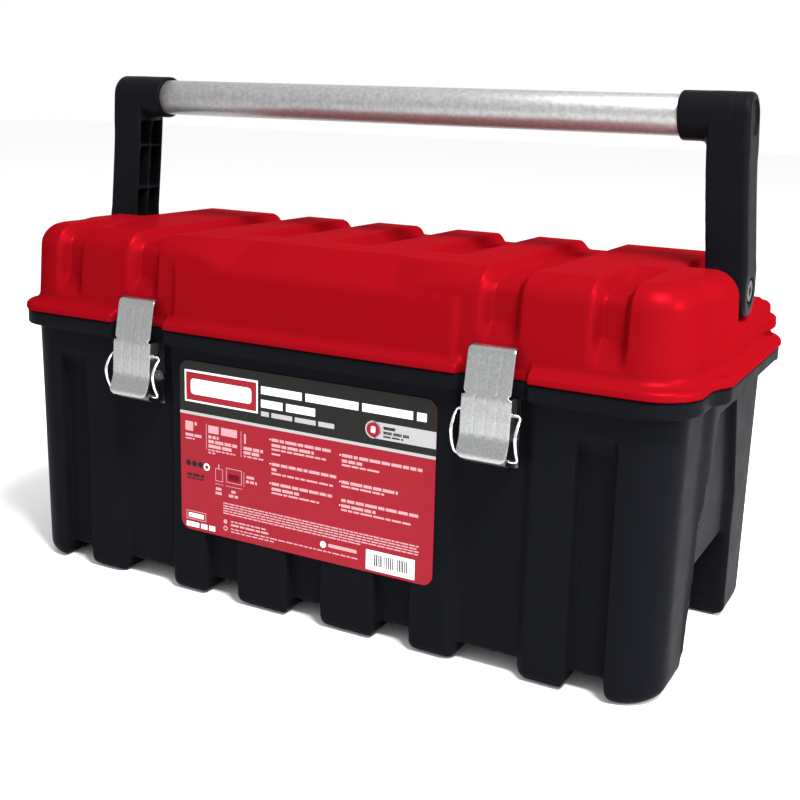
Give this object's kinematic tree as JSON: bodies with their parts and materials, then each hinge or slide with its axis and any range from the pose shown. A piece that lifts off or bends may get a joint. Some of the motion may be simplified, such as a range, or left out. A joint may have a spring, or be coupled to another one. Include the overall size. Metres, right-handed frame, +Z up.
{
  "type": "toolbox with tray",
  "caption": "Portable plastic toolbox with a hinged lid, folding tube handle, draw latches and a compartment tray that lifts out of the tub.",
  "frame": {"origin": "middle of the overall outline, on the ground under the feet", "axes": "+X along the length to the right as seen from the front, +Y from the latch side to the hinge side, +Z up"},
  "size_m": [0.431, 0.2151, 0.2969],
  "materials": {
    "tub_plastic": "satin moulded, near black",
    "lid_plastic": "semi-gloss moulded red",
    "arm_plastic": "fine-grained satin",
    "tube_aluminium": "satin anodised with fine speckle",
    "latch_zinc": "zinc plated sheet, faint spangle",
    "steel_wire": "bright plated",
    "pin_dark": "blackened",
    "tray_plastic": "satin moulded, near black",
    "label_film": "printed film, satin laminate"
  },
  "bodies": {
    "case": {"body_shell": "tub_plastic", "hinge_pin": "steel_wire", "label": "label_film", "latch_bracket_left": "latch_zinc", "latch_bracket_right": "latch_zinc", "latch_rivet_inner_left": "steel_wire", "latch_rivet_outer_left": "steel_wire", "latch_rivet_inner_right": "steel_wire", "latch_rivet_outer_right": "steel_wire"},
    "lid": {"lid_shell": "lid_plastic", "handle_pivot_pin_left": "pin_dark", "handle_pivot_pin_right": "pin_dark"},
    "handle": {"handle_tube": "tube_aluminium", "handle_arm_left": "arm_plastic", "handle_arm_right": "arm_plastic"},
    "latch_link_left": {"latch_wire_left": "steel_wire"},
    "latch_lever_left": {"latch_plate_left": "latch_zinc"},
    "latch_link_right": {"latch_wire_right": "steel_wire"},
    "latch_lever_right": {"latch_plate_right": "latch_zinc"},
    "tray": {"tray": "tray_plastic"}
  },
  "joints": [
    {"name": "lid_hinge", "type": "hinge", "parent": "case", "child": "lid", "pos_m": [0, 0.10205, 0.15605], "axis": [-1, 0, 0], "range_deg": [0, 110]},
    {"name": "handle_fold", "type": "hinge", "parent": "lid", "child": "handle", "pos_m": [0, 0.00405, 0.196], "axis": [-1, 0, 0], "range_deg": [0, 75]},
    {"name": "tray_lift", "type": "slide", "parent": "case", "child": "tray", "axis": [0, 0, 1], "range_m": [0, 0.014]},
    {"name": "latch_link_left", "type": "hinge", "parent": "case", "child": "latch_link_left", "pos_m": [-0.1103, -0.09975, 0.117], "axis": [1, 0, 0], "range_deg": [0, 80]},
    {"name": "latch_lever_left", "type": "hinge", "parent": "latch_link_left", "child": "latch_lever_left", "pos_m": [-0.1103, -0.09775, 0.1395], "axis": [-1, 0, 0], "range_deg": [0, 120]},
    {"name": "latch_link_right", "type": "hinge", "parent": "case", "child": "latch_link_right", "pos_m": [0.1103, -0.09975, 0.117], "axis": [1, 0, 0], "range_deg": [0, 80]},
    {"name": "latch_lever_right", "type": "hinge", "parent": "latch_link_right", "child": "latch_lever_right", "pos_m": [0.1103, -0.09775, 0.1395], "axis": [-1, 0, 0], "range_deg": [0, 120]}
  ],
  "couplings": [
    {"joint": "latch_lever_left", "follows": "latch_link_left", "ratio": 1.5},
    {"joint": "latch_lever_right", "follows": "latch_link_right", "ratio": 1.5}
  ]
}
